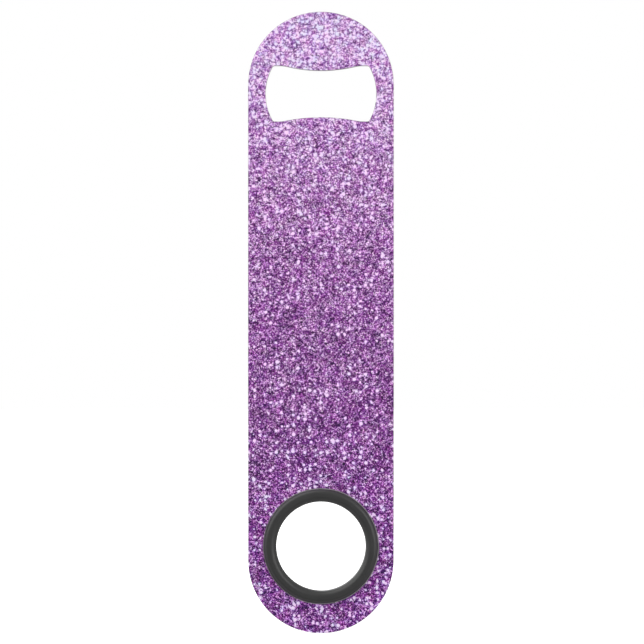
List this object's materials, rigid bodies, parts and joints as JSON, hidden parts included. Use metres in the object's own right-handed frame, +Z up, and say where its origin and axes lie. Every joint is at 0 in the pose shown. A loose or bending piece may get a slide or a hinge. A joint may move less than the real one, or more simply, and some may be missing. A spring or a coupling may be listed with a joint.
{
  "type": "speed bottle opener",
  "caption": "Flat steel bar-blade bottle opener with a crown-cap window at the top, glitter-print faces and a spinning black finger ring.",
  "frame": {"origin": "centre of the finger ring, on the axis it spins about, halfway through the steel blade", "axes": "+Z up the blade from the finger ring to the crown-cap window, -Y out of the printed front face, +X to the right of someone facing that face"},
  "size_m": [0.0418, 0.0052, 0.1778],
  "materials": {
    "steel": "tumbled stainless steel, bare on the rounded edges, in the window and round the ring",
    "glitter_print": "printed lavender to purple glitter pattern under a clear satin laminate",
    "ring_black": "satin black moulded nylon"
  },
  "bodies": {
    "blade": {"steel_blade": "steel", "front_print": "glitter_print", "rear_print": "glitter_print"},
    "finger_ring": {"ring_hub": "ring_black", "ring_retainer": "ring_black"}
  },
  "joints": [
    {"name": "ring_spin", "type": "hinge", "parent": "blade", "child": "finger_ring", "pos_m": [0, 0, 0], "axis": [0, -1, 0], "continuous": true}
  ]
}
